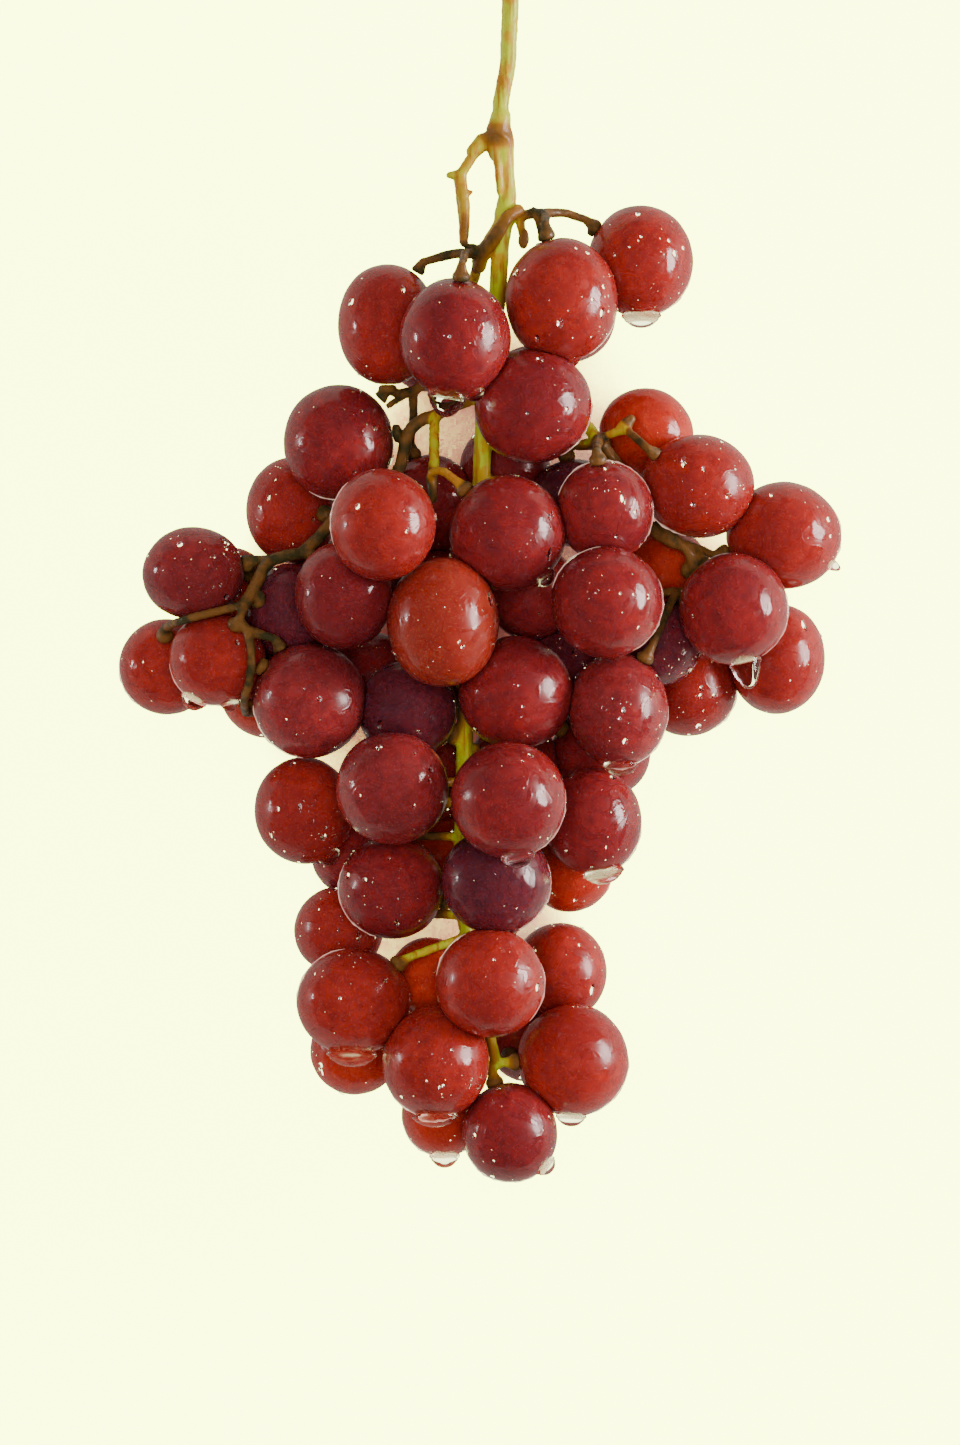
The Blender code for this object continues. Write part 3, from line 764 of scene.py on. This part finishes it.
@dataclass
class Heap:
    """The berries as balls that settle round the main stem, as in the part."""

    centres: np.ndarray = field(init=False)

    def __post_init__(self) -> None:
        """Stack the berries and let them settle."""
        rows = np.array(LYING + UPPER, float)
        self.homes = rows[:, :2] - MIDDLE
        self.radii = rows[:, 2:].mean(axis=1)
        self.sizes = np.column_stack([rows[:, 2:], self.radii])
        self.stalk = self.stalk_line()
        self.touching = self.radii[:, None] + self.radii[None] - PRESS
        self.centres = self.stacked()
        self.settle()

    def stalk_line(self) -> np.ndarray:
        """The main stem's middle line.

        Returns:
            Points a step apart, level above the table.
        """
        corners = np.array(MAIN_STEM, float)
        swept = []
        for start, end in zip(corners[:-1], corners[1:]):
            count = max(1, round(np.linalg.norm(end - start) / STALK_STEP))
            swept += [start + (end - start) * k / count for k in range(count)]
        flat = np.array([*swept, corners[-1]]) - MIDDLE
        return np.column_stack([flat, np.full(len(flat), STALK_HEIGHT)])

    def stacked(self) -> np.ndarray:
        """Each berry let down in turn until it meets the table, the stalk or an earlier berry.

        Returns:
            The centres.
        """
        centres = np.zeros((len(self.homes), 3))
        for number, (home, radius) in enumerate(zip(self.homes, self.radii)):
            height = radius - FLAT_DEPTH
            if number >= len(LYING):
                reach = radius + STALK_RADIUS
                off = np.linalg.norm(self.stalk[:, :2] - home, axis=1).min()
                if off < reach:
                    height = max(height, STALK_HEIGHT + np.sqrt(reach**2 - off**2))
            for other in range(number):
                reach = self.touching[number, other]
                off = np.linalg.norm(home - centres[other, :2])
                if off < reach:
                    height = max(height, centres[other, 2] + np.sqrt(reach**2 - off**2))
            centres[number] = (*home, height)
        return centres

    def ties(self) -> np.ndarray:
        """Pairs that join all the berries by the smallest gaps between them.

        Returns:
            Two rows of berry numbers.
        """
        apart = np.linalg.norm(self.centres[:, None] - self.centres[None], axis=2)
        gaps = np.maximum(apart - self.touching, 0)
        joined = np.zeros(len(gaps), bool)
        joined[0] = True
        best = gaps[0].copy()
        partner = np.zeros(len(gaps), int)
        pairs = []
        for _ in range(len(gaps) - 1):
            berry = int(np.where(joined, np.inf, best).argmin())
            pairs.append((partner[berry], berry))
            joined[berry] = True
            nearer = gaps[berry] < best
            best[nearer] = gaps[berry][nearer]
            partner[nearer] = berry
        return np.array(pairs).T

    def pull_ties(self, one: np.ndarray, two: np.ndarray) -> None:
        """Draw tied berries that don't touch yet towards each other.

        Args:
            one: The first berry of each pair.
            two: The second berry of each pair.
        """
        between = self.centres[two] - self.centres[one]
        length = np.linalg.norm(between, axis=1)
        slack = np.clip(length - self.touching[one, two], 0, LONGEST_PULL)
        pull = between / length[:, None] * (TIE_PULL * slack)[:, None]
        np.add.at(self.centres, one, pull)
        np.add.at(self.centres, two, -pull)

    def push_apart(self, one: np.ndarray, two: np.ndarray) -> None:
        """Push berries that press too deep off each other.

        Args:
            one: The first berry of each pair.
            two: The second berry of each pair.
        """
        between = self.centres[two] - self.centres[one]
        length = np.linalg.norm(between, axis=1)
        deep = self.touching[one, two] - length
        near = deep > 0
        push = between[near] / length[near, None] * (deep[near, None] / 2)
        np.add.at(self.centres, one[near], -push)
        np.add.at(self.centres, two[near], push)

    def push_off_stalk(self) -> None:
        """Push the berries clear of the main stem."""
        off = self.centres[:, None] - self.stalk[None]
        length = np.linalg.norm(off, axis=2)
        closest = length.argmin(axis=1)
        every = np.arange(len(closest))
        length = length[every, closest]
        deep = self.radii + STALK_RADIUS + STALK_CLEARANCE - length
        self.centres += off[every, closest] * (np.maximum(deep, 0) / length)[:, None]

    def settle(self) -> None:
        """Draw the berries together, hold them near their places and keep them on the table."""
        resting = list(RESTING)
        floor = self.radii - FLAT_DEPTH
        every_pair = np.triu_indices(len(self.homes), 1)
        for turn in range(ROUNDS):
            if turn % TIE_EVERY == 0:
                ties = self.ties()
            if turn > TIE_START:
                self.pull_ties(*ties)
            drop = np.clip((STALK_HEIGHT - self.centres[:, 2]) / SINK_DEPTH, -1, 1)
            self.centres[:, 2] += SINKING * drop * (1 - turn / ROUNDS)
            hold = HOLD if turn < ROUNDS - LAST_ROUNDS else LAST_HOLD
            self.centres[:, :2] += hold * (self.homes - self.centres[:, :2])
            for _ in range(PUSHES):
                self.push_apart(*every_pair)
                self.push_off_stalk()
                self.centres[:, 2] = np.maximum(self.centres[:, 2], floor)
                self.centres[resting, 2] = floor[resting]

    def berries(self, stem: np.ndarray) -> list[Berry]:
        """Every berry, with its stem end towards the nearest end of the stem.

        Args:
            stem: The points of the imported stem, in millimetres.

        Returns:
            The berries in the order of their rows.
        """
        tones = {row: tone for tone, rows in TONES.items() for row in rows}
        made = []
        for number, (centre, size) in enumerate(zip(self.centres, self.sizes)):
            off = np.linalg.norm((stem - centre) / size, axis=1)
            cap = stem[off < off.min() + 0.03].mean(axis=0)
            way = Vector((cap - centre) / size * size.mean()).normalized()
            tone = tones.get(number, Tone.WINE)
            made.append(Berry(number, Vector(centre), Vector(size), way, tone))
        return made


@dataclass
class BerryMaker:
    """Models one grape as by hand, and sets a pressed, slightly uneven copy at each berry."""

    segments: int = 64
    rings: int = 40
    dimple: float = 0.035
    lumps: float = 0.026
    ripple: float = 0.006
    lump_pitch: float = 1.1
    ripple_pitch: float = 4.3
    gap: float = 0.03
    box: np.ndarray = field(default_factory=lambda: np.zeros((2, 3)))
    skins: dict[Tone, bpy.types.Material] = field(default_factory=dict)

    def model(self) -> bpy.types.Object:
        """One grape of unit radius with its stem end up.

        Returns:
            The grape, which is only copied from.
        """
        deselect()
        bpy.ops.mesh.primitive_uv_sphere_add(
            segments=self.segments, ring_count=self.rings, radius=1.0, location=(0, 0, 0)
        )
        grape = bpy.context.object
        bpy.ops.object.mode_set(mode="EDIT")
        for height, drop in ((0.999, 0.4), (0.992, 0.3), (0.975, 0.2), (0.95, 0.1)):
            select_between(grape, height, 2.0)
            bpy.ops.transform.translate(value=(0, 0, -self.dimple * drop))
        select_between(grape, -2.0, -0.9985)
        bpy.ops.transform.translate(value=(0, 0, 0.012))
        select_between(grape, -2.0, -0.9999)
        bpy.ops.transform.translate(value=(0, 0, -0.016))
        bpy.ops.object.mode_set(mode="OBJECT")
        return grape

    def lumpy(self, points: np.ndarray, seed: int) -> np.ndarray:
        """The unit grape's points, gently uneven.

        Args:
            points: Points on the unit grape.
            seed: Picks the unevenness.

        Returns:
            The moved points.
        """
        start = Vector((seed * 7.31, seed * 3.17, seed * 5.73))
        swell = [noise.noise(Vector(point) * self.lump_pitch + start) for point in points]
        ripple = [noise.noise(Vector(point) * self.ripple_pitch - start) for point in points]
        return points * (1 + self.lumps * np.array(swell) + self.ripple * np.array(ripple))[:, None]

    def pressed(self, points: np.ndarray, berry: Berry, others: list[Berry]) -> np.ndarray:
        """The points held back where a neighbour or the table presses on the berry.

        Args:
            points: The berry's points.
            berry: The berry.
            others: All berries.

        Returns:
            The moved points.
        """
        for other in others:
            between = other.centre - berry.centre
            length = between.length
            if other.number == berry.number:
                continue
            way = between.normalized()
            mine, theirs = berry.reach(way), other.reach(-way)
            if mine + theirs < length - 0.5:
                continue
            wall = (length + (mine**2 - theirs**2) / length) / 2 - self.gap
            beyond = (points - np.array(berry.centre)) @ np.array(way) - wall
            points = points - np.maximum(beyond, 0)[:, None] * np.array(way)
        return points

    def place(self, grape: bpy.types.Object, berry: Berry, others: list[Berry]) -> bpy.types.Object:
        """A finished copy of the grape at a berry's place.

        Args:
            grape: The modelled grape.
            berry: The berry.
            others: All berries.

        Returns:
            The new piece.
        """
        mesh = grape.data.copy()
        points = self.lumpy(points_of(mesh), berry.number + 1)
        points = points @ np.array(turned(berry.way)).T * np.array(berry.size)
        points = self.pressed(points + np.array(berry.centre), berry, others)
        berry.skin = np.clip(points, *self.box)
        set_points(mesh, berry.skin * MM)
        piece = link_new(f"berry_{berry.number:02d}", mesh)
        pick(piece)
        bpy.ops.object.shade_smooth()
        dress(piece, self.skins[berry.tone])
        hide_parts("berries")
        return piece

    def build(self, berries: list[Berry]) -> None:
        """Every berry.

        Args:
            berries: Their places.
        """
        grape = self.model()
        for berry in berries:
            self.place(grape, berry, berries)
        bpy.data.objects.remove(grape)
        LOG.info("berries: %d", len(berries))


@dataclass
class Stem:
    """The branched stem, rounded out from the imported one, with a cup at each berry."""

    voxel: float = 0.36
    swell: float = 0.12
    bark: float = 0.25
    cup_radius: float = 1.75
    cup_depth: float = 1.5
    young_reach: float = 1.8
    aging: float = 3.5
    cup_aging: float = 2.5
    box: np.ndarray = field(default_factory=lambda: np.zeros((2, 3)))
    finish: bpy.types.Material | None = None

    def cup(self) -> bpy.types.Object:
        """The small lipped disc that holds a berry, with its face up at the origin.

        Returns:
            The cup, which is only copied from.
        """
        deselect()
        bpy.ops.mesh.primitive_cylinder_add(
            vertices=14, radius=self.cup_radius * MM, depth=self.cup_depth * MM, location=(0, 0, 0)
        )
        cup = bpy.context.object
        bpy.ops.object.mode_set(mode="EDIT")
        bpy.ops.mesh.select_all(action="SELECT")
        bpy.ops.mesh.bevel(offset=0.35 * MM, segments=2, affect="EDGES")
        bpy.ops.object.mode_set(mode="OBJECT")
        return cup

    def copy_of_node(self) -> bpy.types.Object:
        """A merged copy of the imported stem.

        Returns:
            The copy.
        """
        stem = link_new("stem_wood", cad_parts["stem"].data.copy())
        pick(stem)
        bpy.ops.object.mode_set(mode="EDIT")
        bpy.ops.mesh.select_all(action="SELECT")
        bpy.ops.mesh.remove_doubles(threshold=0.000002)
        bpy.ops.object.mode_set(mode="OBJECT")
        return stem

    def with_cups(self, stem: bpy.types.Object, berries: list[Berry]) -> None:
        """Join a cup to the stem at each berry.

        Args:
            stem: The stem.
            berries: The berries that hang on it.
        """
        cup = self.cup()
        cups = []
        for berry in berries:
            mesh = cup.data.copy()
            skin = berry.reach(berry.way)
            place = berry.centre + berry.way * (skin + self.cup_depth * 0.42)
            mesh.transform(Matrix.Translation(place * MM) @ turned(berry.way).to_4x4())
            cups.append(link_new(f"cup_{berry.number}", mesh))
        bpy.data.objects.remove(cup)
        join_to(stem, cups)

    def with_trim(self, stem: bpy.types.Object) -> None:
        """Join the knots, the crossing branch and the small shoots to the stem.

        Args:
            stem: The stem.
        """
        strokes = []
        for rows in TRIM:
            strokes.append(strand(rows))
            for x, y, z, radius in (rows[0], rows[-1]):
                bpy.ops.mesh.primitive_ico_sphere_add(
                    subdivisions=2, radius=radius * MM, location=(x * MM, y * MM, z * MM)
                )
                bpy.ops.object.transform_apply()
                strokes.append(bpy.context.object)
        join_to(stem, strokes)

    def age(self, stem: bpy.types.Object, berries: list[Berry]) -> None:
        """Write how old and brown the wood is at each point, from the main stem outwards.

        Args:
            stem: The stem.
            berries: The berries that hang on it.
        """
        points = points_of(stem.data) / MM
        line = np.array(MAIN_STEM, float) - MIDDLE
        off = np.full(len(points), np.inf)
        for start, end in zip(line[:-1], line[1:]):
            run = end - start
            share = np.clip((points[:, :2] - start) @ run / (run @ run), 0, 1)
            near = start + share[:, None] * run
            flat = np.linalg.norm(points[:, :2] - near, axis=1)
            off = np.minimum(off, np.hypot(flat, points[:, 2] - STALK_HEIGHT))
        age = np.clip((off - self.young_reach) / self.aging, 0, 0.8)
        for berry in berries:
            away = np.linalg.norm(points - np.array(berry.centre), axis=1) - berry.size.z
            age = np.maximum(age, np.clip(1.2 - away / self.cup_aging, 0, 1))
        # the tendril, with its lower end, then the knot and the crossing branch
        tendril = (points[:, 0] < 1.5) & (points[:, 1] > 66)
        age[tendril] = np.minimum(age[tendril], 0.28)
        age[tendril & (points[:, 1] < 77.5)] += 0.14
        knot = np.linalg.norm((points - KNOT[0]) / KNOT[1], axis=1)
        age = np.maximum(age, 0.95 * np.clip(1.4 - knot, 0, 0.8))
        crossing = points[:, 2] - 25.6 - np.abs(points[:, 1] - 67.5) * 0.12
        age = np.maximum(age, np.where(points[:, 1] > 60, np.clip(crossing, 0, 0.6), 0))
        for middle, reach, youth in YOUNG:
            off = np.linalg.norm((points - middle) / reach, axis=1)
            age = np.minimum(age, youth + 3 * np.maximum(off - 0.8, 0))
        attribute = stem.data.attributes.new("age", "FLOAT", "POINT")
        attribute.data.foreach_set("value", age)

    def build(self, berries: list[Berry]) -> bpy.types.Object:
        """The finished stem.

        Args:
            berries: The berries that hang on it.

        Returns:
            The piece.
        """
        stem = self.copy_of_node()
        self.with_cups(stem, berries)
        self.with_trim(stem)
        remesh = stem.modifiers.new("round", "REMESH")
        remesh.mode = "VOXEL"
        remesh.voxel_size = self.voxel * MM
        smooth = stem.modifiers.new("smooth", "SMOOTH")
        smooth.factor = 0.5
        smooth.iterations = 4
        swell = stem.modifiers.new("swell", "DISPLACE")
        swell.strength = self.swell * MM
        swell.mid_level = 0.0
        rough = bpy.data.textures.new("bark", "CLOUDS")
        rough.noise_scale = 0.0016
        bark = stem.modifiers.new("bark", "DISPLACE")
        bark.texture = rough
        bark.texture_coords = "LOCAL"
        bark.strength = self.bark * MM
        bark.mid_level = 0.5
        apply_modifiers(stem)
        bpy.ops.object.shade_smooth()
        set_points(stem.data, np.clip(points_of(stem.data), *(self.box * MM)))
        self.age(stem, berries)
        dress(stem, self.finish)
        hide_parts("stem")
        LOG.info("stem: %d faces", len(stem.data.polygons))
        return stem


@dataclass
class Water:
    """The beads, the drops and the thin rims of water that cling to the berries."""

    seed: int = 7
    beads_each: int = 42
    gathered: float = 1.3
    small: float = 0.11
    large: float = 0.80
    sag: float = 0.5
    flatness: float = 0.34
    rim: float = 0.22
    rim_rise: float = 0.12
    rim_step: float = 5.0
    box: np.ndarray = field(default_factory=lambda: np.zeros((2, 3)))
    finish: bpy.types.Material | None = None
    painted_glow_rim_finish: bpy.types.Material | None = None

    def bead(self) -> bpy.types.Object:
        """A bead of unit radius that sits on the level, with few faces.

        Returns:
            The bead, which is only copied from.
        """
        deselect()
        bpy.ops.mesh.primitive_ico_sphere_add(subdivisions=1, radius=1.0, location=(0, 0, 0))
        bead = bpy.context.object
        bpy.ops.object.mode_set(mode="EDIT")
        bpy.ops.mesh.select_all(action="SELECT")
        bpy.ops.mesh.bisect(
            plane_co=(0, 0, -0.25), plane_no=(0, 0, 1), clear_inner=True, use_fill=True
        )
        bpy.ops.mesh.select_all(action="SELECT")
        bpy.ops.transform.resize(value=(1, 1, self.flatness))
        bpy.ops.object.mode_set(mode="OBJECT")
        return bead

    def drop(self) -> bpy.types.Object:
        """A hanging drop of unit radius: wide at the skin, with a round heavy end.

        Returns:
            The drop, which is only copied from.
        """
        deselect()
        bpy.ops.mesh.primitive_uv_sphere_add(segments=28, ring_count=18, radius=1.0, location=(0, 0, 0))
        drop = bpy.context.object
        bpy.ops.object.mode_set(mode="EDIT")
        bpy.ops.mesh.select_all(action="SELECT")
        bpy.ops.mesh.bisect(
            plane_co=(0, 0, -0.5), plane_no=(0, 0, 1), clear_inner=True, use_fill=True
        )
        select_between(drop, 0.35, 2.0)
        bpy.ops.transform.resize(value=(0.93, 0.93, 1.0), center_override=(0, 0, 0.35))
        select_between(drop, -2.0, 0.05)
        bpy.ops.transform.resize(value=(1.12, 1.12, 1.0), center_override=(0, 0, 0))
        bpy.ops.object.mode_set(mode="OBJECT")
        return drop

    def settle(
        self, shape: bpy.types.Object, name: str, berry: Berry, way: Vector, sizes: tuple
    ) -> bpy.types.Object:
        """A copy of a bead or a drop on a berry's skin.

        Args:
            shape: What is copied.
            name: The copy's name.
            berry: The berry that it clings to.
            way: The direction from the berry's centre.
            sizes: Its radius along the skin, across the skin and outwards.

        Returns:
            The copy.
        """
        mesh = shape.data.copy()
        place = berry.on_skin(way)
        turn = turned(way).to_4x4()
        mesh.transform(
            Matrix.Translation(place * MM) @ turn @ Matrix.Diagonal((*(Vector(sizes) * MM), 1))
        )
        return link_new(name, mesh)

    def joined(
        self, name: str, pieces: list[bpy.types.Object], finish: bpy.types.Material
    ) -> bpy.types.Object:
        """One finished piece of water.

        Args:
            name: The piece's name.
            pieces: The beads, drops or strands that it is made of.
            finish: Its material.

        Returns:
            The piece.
        """
        join_to(pieces[0], pieces)
        water = bpy.context.object
        water.name = name
        water.data.name = name
        bpy.ops.object.shade_smooth()
        set_points(water.data, np.clip(points_of(water.data), *(self.box * MM)))
        water.visible_shadow = False
        dress(water, finish)
        return water

    @staticmethod
    def is_free(place: Vector, berry: Berry, others: list[Berry], room: float) -> bool:
        """Whether a place on a berry's skin is clear of the other berries.

        Args:
            place: The place.
            berry: The berry that it is on.
            others: All berries.
            room: The clearance asked for.

        Returns:
            True where no other berry is nearer than the clearance.
        """
        for other in others:
            if other.number != berry.number:
                between = place - other.centre
                if between.length < other.reach(between.normalized()) + room:
                    return False
        return place.z > room

    def beads(self, berries: list[Berry]) -> None:
        """Fine beads scattered over the berries, more of them small than large.

        Args:
            berries: The berries.
        """
        draw = np.random.default_rng(self.seed)
        bead = self.bead()
        made = []
        for berry in berries:
            middle = Vector((0.55, 0.2, 0.5)) + Vector(draw.normal(size=3)) * 0.4
            for turn in range(round(self.beads_each * (0.4 + 1.2 * draw.random()))):
                way = Vector(draw.normal(size=3))
                if turn % 3:
                    way += middle.normalized() * self.gathered
                way.normalize()
                radius = self.small + (self.large - self.small) * draw.random() ** 6
                long = radius * (1 + 1.5 * draw.random() ** 3)
                place = berry.centre + way * berry.reach(way)
                if way.z > -0.2 and self.is_free(place, berry, berries, radius * 2):
                    sizes = (radius, long, radius)
                    made.append(self.settle(bead, f"bead_{len(made)}", berry, way, sizes))
        bpy.data.objects.remove(bead)
        self.joined("water_beads", made, self.finish)
        LOG.info("water beads: %d", len(made))

    def drops(self, berries: list[Berry]) -> None:
        """The large drops that the photograph shows.

        Args:
            berries: The berries.
        """
        drop = self.drop()
        made = []
        for u, v, width, hang, row in DROPS:
            berry = berries[row]
            x, y = photo_place(u, v)
            off = Vector((x - berry.centre.x, y - berry.centre.y, 0)).normalized()
            way = (off + Vector((0, 0, 0.12))).normalized()
            radius = width * PIXEL / 2
            sizes = (radius, radius * 0.85, hang * PIXEL + self.sag)
            made.append(self.settle(drop, f"drop_{len(made)}", berry, way, sizes))
        bpy.data.objects.remove(drop)
        self.joined("water_drops", made, self.finish)
        LOG.info("water drops: %d", len(made))

    def rims(self, berries: list[Berry]) -> None:
        """The thin water along the edges of some berries, uneven and with fine ends, which glows with
        painted light.

        Args:
            berries: The berries.
        """
        draw = np.random.default_rng(self.seed)
        made = []
        for row, start, end in RIMS:
            angles = np.radians(np.arange(start, end + 1, self.rim_step))
            ends = np.sin(np.linspace(0, np.pi, len(angles))) ** 0.5
            thick = self.rim * (0.2 + ends * (0.25 + draw.random(len(angles)) ** 2))
            rows = []
            for angle, radius in zip(angles, thick):
                way = Vector((np.cos(angle), np.sin(angle), self.rim_rise)).normalized()
                rows.append((*berries[row].on_skin(way), radius))
            made.append(strand(rows))
        self.joined("water_rims", made, self.painted_glow_rim_finish)
        LOG.info("water rims: %d", len(made))

    def build(self, berries: list[Berry]) -> None:
        """All the water.

        Args:
            berries: The berries that it clings to.
        """
        self.beads(berries)
        self.drops(berries)
        self.rims(berries)


@dataclass
class Studio:
    """The pale table, the soft lights and the camera."""

    view: tuple[float, float] = (480.0, 722.5)
    photo_height: int = 1445
    distance: float = 1600.0
    focus_height: float = 33.0
    table_glow: float = 1.2
    table_shine: float = 0.12
    table_clear: float = 4.0
    table_seen: float = 12.0
    # how bright the painted shadow is where the bunch hides the table
    painted_shadow_strength: float = 0.08
    shade_reach: float = 0.12
    room_glow: float = 0.12
    room_clear: float = 0.6

    def table(self) -> bpy.types.Object:
        """The pale table top, whose glow fades to a painted reddish shadow under and between the
        berries.

        Returns:
            The table.
        """
        deselect()
        bpy.ops.mesh.primitive_plane_add(size=8.0, location=(0, 0, 0))
        table = bpy.context.object
        table.name = "table"
        material, graph, shader = principled("table")
        ray = graph.add("LightPath").outputs
        # Painted shadow: the glow that the camera sees fades to a dim red where the berries hide the
        # table from the room
        sky = graph.add("AmbientOcclusion", {"Distance": self.shade_reach}, samples=16).outputs["AO"]
        unshadowed = graph.ramp(sky, [(0.04, 0.0), (0.32, 1.0)])
        unshadowed = graph.add("Math", {0: unshadowed, 1: 3.0}, operation="POWER").outputs[0]
        seen_with_painted_shadow = graph.rescale(unshadowed, self.painted_shadow_strength, self.table_seen)
        glow = graph.rescale(ray["Is Glossy Ray"], self.table_glow, self.table_shine)
        glow = graph.rescale(ray["Is Transmission Ray"], glow, self.table_clear)
        clear = graph.mix(ray["Is Transmission Ray"], (1.0, 0.98, 0.90), (0.92, 1.0, 0.45))
        seen_tint_with_painted_shadow = graph.mix(unshadowed, (1.0, 0.20, 0.16), (0.80, 1.0, 0.150))
        graph.feed(shader, {
            "Base Color": (0.36, 0.36, 0.31),
            "Roughness": 0.8,
            "Emission Color": graph.mix(ray["Is Camera Ray"], clear, seen_tint_with_painted_shadow),
            "Emission Strength": graph.rescale(ray["Is Camera Ray"], glow, seen_with_painted_shadow),
        })
        table.data.materials.append(material)
        table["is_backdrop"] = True
        return table

    def window(
        self, name: str, place: tuple, size: tuple, power: float, tint: tuple
    ) -> bpy.types.Object:
        """An area light that faces the bunch.

        Args:
            name: The light's name.
            place: Where it stands, in metres.
            size: Its width and height, in metres.
            power: Its power in watts.
            tint: Its colour.

        Returns:
            The light.
        """
        light = bpy.data.lights.new(name, "AREA")
        light.shape = "ELLIPSE"
        light.size = size[0]
        light.size_y = size[1]
        light.energy = power
        light.color = tint
        lamp = bpy.data.objects.new(name, light)
        aim = Vector((0, -0.03, 0.03)) - Vector(place)
        lamp.location = place
        lamp.rotation_euler = aim.to_track_quat("-Z", "Y").to_euler()
        bpy.context.scene.collection.objects.link(lamp)
        return lamp

    def sky(self) -> None:
        """A dim room round the table."""
        world = bpy.data.worlds.new("room")
        world.use_nodes = True
        backdrop = world.node_tree.nodes["Background"]
        graph = Graph(world.node_tree)
        ray = graph.add("LightPath").outputs["Is Transmission Ray"]
        glow = graph.rescale(ray, self.room_glow, self.room_clear)
        graph.feed(backdrop, {"Color": (1.0, 0.97, 0.88), "Strength": glow})
        bpy.context.scene.world = world

    def camera(self) -> None:
        """The camera straight over the bunch, which sees as much as the photograph does."""
        x, y = photo_place(*self.view)
        data = bpy.data.cameras.new("camera")
        data.sensor_fit = "VERTICAL"
        data.sensor_height = 24.0
        data.clip_end = 20.0
        data.lens = data.sensor_height * self.distance / (self.photo_height * PIXEL)
        camera = bpy.data.objects.new("camera", data)
        camera.location = (x * MM, y * MM, (self.distance + self.focus_height) * MM)
        bpy.context.scene.collection.objects.link(camera)
        bpy.context.scene.camera = camera

    def build(self) -> None:
        """Everything round the bunch."""
        self.table()
        self.window("window_right", (0.62, 0.07, 0.22), (0.42, 0.27), 8.4, (1.0, 0.90, 0.86))
        self.window("window_left", (-1.0, 0.05, 0.04), (0.16, 0.07), 1.4, (1.0, 0.97, 0.95))
        fill = self.window("ceiling", (-0.1, 0.0, 1.3), (1.2, 1.2), 20.5, (1.0, 0.97, 0.95))
        fill.visible_glossy = False
        fill.visible_transmission = False
        self.sky()
        self.camera()
        LOG.info("studio")


def main() -> None:
    """Build the bunch, log each piece and keep the looks inside the box of the solids."""
    logging.basicConfig(level=logging.INFO, format="%(name)s: %(message)s")
    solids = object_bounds()
    box = np.array([list(corner) for corner in solids]) / MM
    effects = Effects()
    stem_points = points_of(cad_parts["stem"].data) / MM
    berries = Heap().berries(stem_points)
    skins = {skin.tone: skin.material(effects) for skin in SKINS}
    BerryMaker(box=box, skins=skins).build(berries)
    Stem(box=box, finish=BARK.material(effects)).build(berries)
    # The rims of water glow with painted light, for the bright lines along the berries' edges.
    painted_glow_water = WaterFinish(name="painted_glow_water", glow=0.4).material()
    Water(box=box, finish=WaterFinish().material(), painted_glow_rim_finish=painted_glow_water).build(berries)
    Studio().build()


if __name__ == "__main__":
    main()
